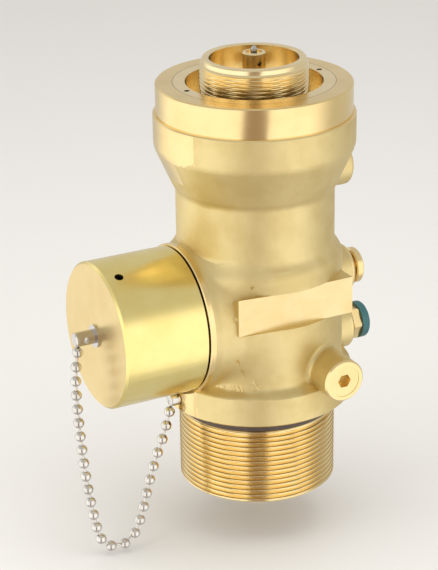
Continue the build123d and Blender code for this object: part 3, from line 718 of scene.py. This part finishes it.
    def reshape(self, points: np.ndarray, faces: list) -> np.ndarray:
        """Draws the skin in to the new one, and evens the spacing of what moved.

        The move fades out towards the collar. Then each point that moved goes to the mean of its
        neighbours and back to the skin, a few times.

        Args:
            points: The mesh's vertices.
            faces: Its faces.

        Returns:
            The moved vertices.
        """
        skin = np.flatnonzero(self.outside(points))
        fade = np.clip((points[skin, 2] - self.cove_low) / self.low_fade, 0, 1)
        moved = points.copy()
        moved[skin] = self.drawn(points[skin], fade, False)
        reach = np.linalg.norm(moved[skin] - points[skin], axis=1)
        free = skin[(reach > 0.06 * MM) & (fade > 0.99)]
        corners = np.array([f for f in faces if len(f) == 3])
        ends = np.vstack([corners[:, [0, 1]], corners[:, [1, 2]], corners[:, [2, 0]]])
        ends = ends[np.isin(ends[:, 0], free)]
        count = np.bincount(ends[:, 0], minlength=len(points))[free, None]
        for _ in range(self.relaxations):
            total = np.zeros_like(moved)
            np.add.at(total, ends[:, 0], moved[ends[:, 1]])
            moved[free] = self.drawn(total[free] / count, 1.0, True)
        log.info("hub: %d points drawn in by up to %.1f mm", len(skin), reach.max() / MM)
        return moved


@dataclass
class Forging:
    """The valve body, with its threads cut and its machined faces told from the forged skin."""

    inlet: Thread = field(default_factory=lambda: Thread(
        Way.Z, 31.75 * MM, -36.1 * MM, -5.0 * MM, 25.4 / 12 * MM, 1.15 * MM, fine=4))
    outlet: Thread = field(default_factory=lambda: Thread(
        Way.X, 25.4 * MM, -56.0 * MM, -35.3 * MM, 25.4 / 12 * MM, 1.1 * MM, (0, 0, OUTLET_Z), rows_per_turn=10))
    dip: Thread = field(default_factory=lambda: Thread(
        Way.Z, 23.9 * MM, -37.3 * MM, -15.3 * MM, 2 * MM, 1.0 * MM, inside=True, rows_per_turn=10))
    ring_z: float = 117.5 * MM
    pad_y: float = -31.6 * MM

    def build(self) -> bpy.types.Object:
        """Copies the solid, threads it and gives each face its finish.

        Returns:
            The piece.
        """
        points, triangles = merged("valve_body")
        hub = Hub()
        points, faces = hub.divide(points, triangles.tolist())
        points = hub.reshape(points, faces)
        for thread in (self.inlet, self.outlet, self.dip):
            plain = np.array([f for f in faces if len(f) == 3])
            rest = [f for f in faces if len(f) != 3]
            points, faces = thread.cut(points, plain)
            faces += rest
        piece = new_object("threaded_body", points, faces, FORGED)
        piece.data.materials.append(TURNED)
        piece.data.materials.append(MILLED)
        piece.data.polygons.foreach_set("material_index", self._finish_of(piece))
        sharpen(piece, 32)
        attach(piece, "valve")
        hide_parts("valve_body")
        return piece

    def _finish_of(self, piece: bpy.types.Object) -> np.ndarray:
        """The finish of each face: 0 forged, 1 turned, 2 milled."""
        centre, normal = facets(piece)
        x, y, z = centre.T
        reach = np.hypot(x, y)
        from_outlet = np.hypot(y, z - OUTLET_Z)
        turned = (z > self.ring_z) | (z < 0.7 * MM) | (reach < 27.4 * MM)
        turned |= (reach < 31.6 * MM) & (z > 100.9 * MM)
        turned |= (x < -33 * MM) & (from_outlet < 30.2 * MM)
        turned |= (x < -35.0 * MM) & (np.abs(normal[:, 0]) > 0.9)
        turned |= (x > 39.5 * MM) | (y < -46.2 * MM)
        turned |= (from_outlet < 19.9 * MM) & (x < -27 * MM)
        milled = (np.abs(y - self.pad_y) < 0.01 * MM) & (normal[:, 1] < -0.99)
        return np.where(milled, 2, np.where(turned, 1, 0)).astype(np.int32)


@dataclass
class Bonnet:
    """The bonnet, with the actuator's thread on its spigot."""

    spigot: Thread = field(default_factory=lambda: Thread(
        Way.Z, 21.0 * MM, 119.8 * MM, 136.6 * MM, 1.5 * MM, 0.8 * MM, fine=4))

    def build(self) -> bpy.types.Object:
        """Copies the solid and threads the spigot.

        Returns:
            The piece.
        """
        points, faces = self.spigot.cut(*merged("bonnet"))
        piece = new_object("threaded_bonnet", points, faces, SPIGOT_BRASS)
        sharpen(piece, 32)
        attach(piece, "valve")
        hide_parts("bonnet")
        return piece


@dataclass
class BallChain:
    """The ball chain: hollow balls on short pins, along a hanging line."""

    route: tuple = (
        (-77.8, 0.0, 34.6),
        (-79.4, -0.1, 27.0),
        (-79.8, -0.2, 14.0),
        (-78.9, -0.3, -4.0),
        (-77.3, -0.4, -23.0),
        (-74.6, -0.5, -41.0),
        (-72.4, -0.7, -51.4),
        (-68.2, -1.1, -55.6),
        (-62.6, -1.7, -56.0),
        (-57.9, -2.2, -52.9),
        (-54.3, -2.6, -43.4),
        (-51.3, -3.0, -30.6),
        (-47.8, -3.4, -18.6),
        (-43.6, -3.8, -8.4),
        (-41.1, -4.1, 2.2),
    )
    ball_r: float = 2.2 * MM
    pin_r: float = 0.55 * MM
    balls: int = 27
    rings: int = 10
    sides: int = 16

    def line(self) -> np.ndarray:
        """The hanging line, read from a smooth spline through the route.

        Returns:
            Closely spaced points along it.
        """
        curve = bpy.data.curves.new("chain_line", "CURVE")
        curve.dimensions = "3D"
        curve.resolution_u = 24
        spline = curve.splines.new("NURBS")
        spline.points.add(len(self.route) - 1)
        for point, place in zip(spline.points, self.route):
            point.co = (*(c * MM for c in place), 1.0)
        spline.order_u = 3
        spline.use_endpoint_u = True
        holder = bpy.data.objects.new("chain_line", curve)
        mesh = bpy.data.meshes.new_from_object(holder)
        points = np.empty(len(mesh.vertices) * 3)
        mesh.vertices.foreach_get("co", points)
        bpy.data.objects.remove(holder)
        bpy.data.meshes.remove(mesh)
        return points.reshape(-1, 3)

    def spaced(self, line: np.ndarray) -> tuple[np.ndarray, np.ndarray]:
        """The balls' centres and the line's direction there, evenly spaced along the line."""
        run = np.concatenate([[0], np.cumsum(np.linalg.norm(np.diff(line, axis=0), axis=1))])
        at = np.linspace(self.ball_r, run[-1] - self.ball_r, self.balls)
        where = np.stack([np.interp(at, run, line[:, i]) for i in range(3)], axis=-1)
        ahead = np.stack([np.interp(at + 0.5 * MM, run, line[:, i]) for i in range(3)], axis=-1)
        back = np.stack([np.interp(at - 0.5 * MM, run, line[:, i]) for i in range(3)], axis=-1)
        direction = ahead - back
        return where, direction / np.linalg.norm(direction, axis=1, keepdims=True)

    def build(self) -> bpy.types.Object:
        """Turns every ball about the line, with a hole's rim at both ends, and the pins between them.

        A ball is a profile of (radius, distance along the line): an arc that stops at the holes,
        whose rims dip inwards. A pin is a tube between two neighbouring balls.

        Returns:
            The piece.
        """
        line = self.line()
        centres, along = self.spaced(line)
        side = np.cross(along, [0.0, 1.0, 0.0])
        side /= np.linalg.norm(side, axis=1, keepdims=True)
        other = np.cross(along, side)
        hole = math.asin(1.5 * self.pin_r / self.ball_r)
        lift = np.linspace(hole, math.pi - hole, self.rings)
        radius = np.concatenate([[self.pin_r * 0.9], self.ball_r * np.sin(lift), [self.pin_r * 0.9]])
        height = np.concatenate([[-0.82 * self.ball_r], -self.ball_r * np.cos(lift), [0.82 * self.ball_r]])
        points, faces = self._rings(centres, along, side, other, radius, height)
        middle = (centres[:-1] + centres[1:]) / 2
        reach = np.linalg.norm(np.diff(centres, axis=0), axis=1) / 2 - 0.8 * self.ball_r
        pin_axis = np.diff(centres, axis=0)
        pin_axis /= np.linalg.norm(pin_axis, axis=1, keepdims=True)
        pin_side = np.cross(pin_axis, [0.0, 1.0, 0.0])
        pin_side /= np.linalg.norm(pin_side, axis=1, keepdims=True)
        pin_other = np.cross(pin_axis, pin_side)
        pins, pin_faces = self._rings(
            middle, pin_axis, pin_side, pin_other, np.full(2, self.pin_r), np.array([-1.0, 1.0]), reach)
        everything = np.vstack([points, pins])
        faces = np.vstack([faces, pin_faces + len(points)])
        piece = new_object("hanging_balls", everything, faces.tolist(), NICKEL)
        piece.data.set_sharp_from_angle(angle=math.radians(50))
        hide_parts("ball_chain")
        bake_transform(piece)
        return piece

    def _rings(self, centres: np.ndarray, along: np.ndarray, side: np.ndarray, other: np.ndarray,
               radius: np.ndarray, height: np.ndarray, stretch: np.ndarray | None = None) -> tuple:
        """Turned shells at many centres at once.

        Each point is its centre, plus its height along the line, plus its radius times the cosine
        and sine of its angle across the line.

        Returns:
            The points and the quads.
        """
        angle = np.linspace(0, 2 * math.pi, self.sides, endpoint=False)
        scale = np.ones(len(centres)) if stretch is None else stretch
        up = height[None, :, None] * scale[:, None, None]
        points = centres[:, None, None] + up[..., None] * along[:, None, None]
        points = points + (radius[:, None] * np.cos(angle))[None, ..., None] * side[:, None, None]
        points = points + (radius[:, None] * np.sin(angle))[None, ..., None] * other[:, None, None]
        quads = grid_quads(len(radius), self.sides, True)
        steps = np.arange(len(centres)) * len(radius) * self.sides
        return points.reshape(-1, 3), (quads[None] + steps[:, None, None]).reshape(-1, 4)


@dataclass
class Fittings:
    """The pieces that keep their solid's shape and only take a finish."""

    finishes: dict = field(default_factory=lambda: {
        "neck_seal": RUBBER, "bonnet_seal": RUBBER, "piston_seal": RUBBER,
        "side_port_seal": RUBBER, "pilot_port_seal": RUBBER,
        "pilot_housing": SPIGOT_BRASS, "pilot_plug": TURNED, "piston": TURNED, "seal_retainer": TURNED,
        "relief_plug": PORT_BRASS, "gauge_fitting": PORT_BRASS, "pilot_port_plug": PORT_BRASS,
        "side_port_plug": SIDE_BRASS,
        "pilot_spring": STEEL, "piston_spring": STEEL, "gauge_spring": STEEL,
        "retainer_screw": STEEL, "pilot_pin": STEEL, "gauge_core": STEEL, "swivel_clip": STEEL,
        "burst_disc": NICKEL, "chain_anchor": NICKEL, "cap_swivel": NICKEL, "swivel_washer": NICKEL,
        "relief_washer": COPPER, "seat_seal": WHITE, "pilot_seal": WHITE, "gauge_cap": TEAL,
    })

    def dress(self) -> None:
        """Gives each solid its material."""
        for node, material in self.finishes.items():
            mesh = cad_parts[node].data
            mesh.materials.clear()
            mesh.materials.append(material)
            log.info("%s: %s", node, material.name)


@dataclass
class OutletCap:
    """The safety cap: a polished side, a faced end, and one pair of vents."""

    face_x: float = -70.6 * MM
    outer_r: float = 29.1 * MM
    inner_r: float = 26.2 * MM
    vent_x: float = -64.5 * MM
    vent_r: float = 1.75 * MM
    closed: tuple = (111.7, 291.7)
    shares: tuple = (0.75, 0.5, 0.25)

    def build(self) -> bpy.types.Object:
        """Copies the solid, closes the vents that the real cap lacks, and gives each face its finish.

        Returns:
            The piece.
        """
        points, triangles = merged("outlet_cap")
        faces = triangles.tolist()
        for angle in self.closed:
            points, faces = self._close(points, faces, math.radians(angle))
        piece = new_object("vented_cap", points, faces, CAP_SIDE)
        piece.data.materials.append(CAP_FACE)
        centre, normal = facets(piece)
        face = (centre[:, 0] < self.face_x + 0.02 * MM) & (normal[:, 0] < -0.9)
        piece.data.polygons.foreach_set("material_index", face.astype(np.int32))
        sharpen(piece, 32)
        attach(piece, "cap")
        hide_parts("outlet_cap")
        return piece

    def _close(self, points: np.ndarray, faces: list, bearing: float) -> tuple[np.ndarray, list]:
        """Takes one vent's wall out and closes its two rims with rings that shrink on the cylinder.

        Args:
            points: The mesh's vertices.
            faces: Its faces.
            bearing: The vent's angle about the cap's axis, from +Z towards -Y.

        Returns:
            The new vertices and faces.
        """
        reach = np.hypot(points[:, 1], points[:, 2] - OUTLET_Z)
        turn = np.arctan2(-points[:, 1], points[:, 2] - OUTLET_Z) - bearing
        turn = (turn + math.pi) % (2 * math.pi) - math.pi
        across = reach * np.sin(turn)
        on_wall = np.hypot(points[:, 0] - self.vent_x, across) < self.vent_r + 0.01 * MM
        on_wall &= (np.abs(turn) < 0.3) & (reach > self.inner_r - 0.05 * MM)
        triangles = np.array([f for f in faces if len(f) == 3])
        kept = triangles[~on_wall[triangles].all(axis=1)].tolist() + [f for f in faces if len(f) != 3]
        for radius, flip in ((self.outer_r, False), (self.inner_r, True)):
            rim = np.flatnonzero(on_wall & (np.abs(reach - radius) < 0.02 * MM))
            rim = rim[np.argsort(np.arctan2(across[rim], points[rim, 0] - self.vent_x))]
            shares = np.array(self.shares)[:, None]
            ring_x = self.vent_x + shares * (points[rim, 0] - self.vent_x)
            ring_turn = bearing + shares * turn[rim]
            rings = np.stack([ring_x, -radius * np.sin(ring_turn), OUTLET_Z + radius * np.cos(ring_turn)], axis=-1)
            middle = [self.vent_x, -radius * math.sin(bearing), OUTLET_Z + radius * math.cos(bearing)]
            start, width = len(points), len(rim)
            rows = np.vstack([rim, start + np.arange(rings.shape[0] * width).reshape(-1, width)])
            right = np.roll(rows, -1, axis=1)
            cover = np.stack([rows[:-1], right[:-1], right[1:], rows[1:]], axis=-1).reshape(-1, 4).tolist()
            last = start + rings.shape[0] * width
            cover += [[int(i), int(j), last] for i, j in zip(rows[-1], right[-1])]
            kept += [f[::-1] for f in cover] if flip else cover
            points = np.vstack([points, rings.reshape(-1, 3), middle])
        log.info("closed a vent at %.0f degrees", math.degrees(bearing))
        return points, kept


# ---- studio


@dataclass
class Studio:
    """The camera at the photo's place, two tall soft panels with a gap between them, and the floor."""

    eye: tuple = (-341.1 * MM, -631.6 * MM, 340.3 * MM)
    heading: float = 27.2
    pitch: float = 22.37
    roll: float = 0.877
    focal: float = 122.44
    floor_z: float = -59.5 * MM
    panels: tuple = (
        ("left", -62.0, 30.0, 0.95, (0.8, 1.3), 3.0),
        ("right", 58.0, 30.0, 0.95, (0.8, 1.3), 2.0),
        ("top", 0.0, 82.0, 0.9, (0.9, 0.9), 4.0),
    )
    room: tuple = rgb(0.66, 0.645, 0.62)
    walls: tuple = rgb(1.36, 1.34, 1.30)
    gap: tuple = rgb(0.40, 0.31, 0.26)
    left_wall: tuple = (-155.0, -108.0, -15.5, -12.0)
    right_wall: tuple = (11.0, 14.0, 62.0, 105.0)
    wall_heights: tuple = (-0.85, -0.6, 0.38, 0.62)
    gap_height: tuple = (0.3, 0.6)

    def build(self) -> None:
        """Sets the camera, the lights, the surroundings and the floor."""
        self._camera()
        for panel in self.panels:
            self._panel(*panel)
        self._surroundings()
        self._floor()
        bpy.context.scene.view_settings.view_transform = "Standard"

    def _camera(self) -> None:
        """Aims the camera by heading, pitch and roll."""
        heading, pitch, roll = (math.radians(a) for a in (self.heading, self.pitch, self.roll))
        right = Vector((math.cos(heading), -math.sin(heading), 0))
        away = Vector((math.sin(heading), math.cos(heading), 0))
        forward = away * math.cos(pitch) - Vector((0, 0, math.sin(pitch)))
        up = away * math.sin(pitch) + Vector((0, 0, math.cos(pitch)))
        level = right * math.cos(roll) - up * math.sin(roll)
        upright = right * math.sin(roll) + up * math.cos(roll)
        data = bpy.data.cameras.new("camera")
        data.lens = self.focal
        data.sensor_width = 36
        data.clip_end = 20
        camera = bpy.data.objects.new("camera", data)
        bpy.context.scene.collection.objects.link(camera)
        turn = Matrix((level, upright, -forward)).transposed()
        camera.matrix_world = Matrix.Translation(Vector(self.eye)) @ turn.to_4x4()
        bpy.context.scene.camera = camera

    def _panel(self, name: str, around: float, above: float, far: float, size: tuple, power: float) -> None:
        """Places one soft panel.

        Args:
            name: Its name.
            around: Its bearing from the camera's side, to the right, in degrees.
            above: Its height above the horizon, in degrees.
            far: Its distance.
            size: Its width and height.
            power: Its power in watts.
        """
        bearing = math.radians(self.heading - around)
        lift = math.radians(above)
        toward = Vector((-math.sin(bearing) * math.cos(lift), -math.cos(bearing) * math.cos(lift), math.sin(lift)))
        aim = Vector((0, 0, 45 * MM))
        data = bpy.data.lights.new(name, "AREA")
        data.shape = "RECTANGLE"
        data.size, data.size_y = size
        data.energy = power
        light = bpy.data.objects.new(name, data)
        light.location = aim + toward * far
        light.rotation_euler = toward.to_track_quat("Z", "Y").to_euler()
        light.visible_glossy = False
        bpy.context.scene.collection.objects.link(light)

    def _surroundings(self) -> None:
        """A pale room with two tall bright walls and a dim gap between them, where the camera stands.

        The bearing is the angle about the vertical from the camera's side, to its right, and the
        height is the direction's own Z. A wall is a smooth step up and a smooth step down in both.
        """
        sky = Sky("room")
        x, y, height = sky.direction()
        heading = math.radians(self.heading)
        forward = x * -math.sin(heading) + y * -math.cos(heading)
        aside = x * math.cos(heading) + y * -math.sin(heading)
        bearing = aside.bearing(forward) * math.degrees(1)
        low, low_full, high_full, high = self.wall_heights
        tall = height.step(low, low_full) * (1 - height.step(high_full, high))
        walls = 0
        for start, full, fade, end in (self.left_wall, self.right_wall):
            walls = bearing.step(start, full) * (1 - bearing.step(fade, end)) + walls
        gap_half = (self.left_wall[3], self.left_wall[2])
        gap = (1 - bearing.size().step(-gap_half[0], -gap_half[1])) * (1 - height.step(*self.gap_height))
        light = sky.mix(walls * tall, self.room, self.walls)
        sky.set(Color=sky.mix(gap, light, self.gap))
        bpy.context.scene.world = sky.world

    def _floor(self) -> None:
        """A pale floor under the chain."""
        side = 3.0
        corners = np.array([(-side, -side), (side, -side), (side, side), (-side, side)])
        points = np.column_stack([corners, np.full(4, self.floor_z)])
        shader = Shader("floor")
        shader.set(Base_Color=rgb(0.78, 0.77, 0.75), Roughness=0.6)
        floor = new_object("floor", points, [[0, 1, 2, 3]], shader.material)
        floor.visible_glossy = False


def main() -> None:
    """Builds the studio and every piece."""
    logging.basicConfig(level=logging.INFO, format="%(message)s")
    Studio().build()
    BallChain().build()
    Forging().build()
    Bonnet().build()
    OutletCap().build()
    Fittings().dress()


if __name__ == "__main__":
    main()
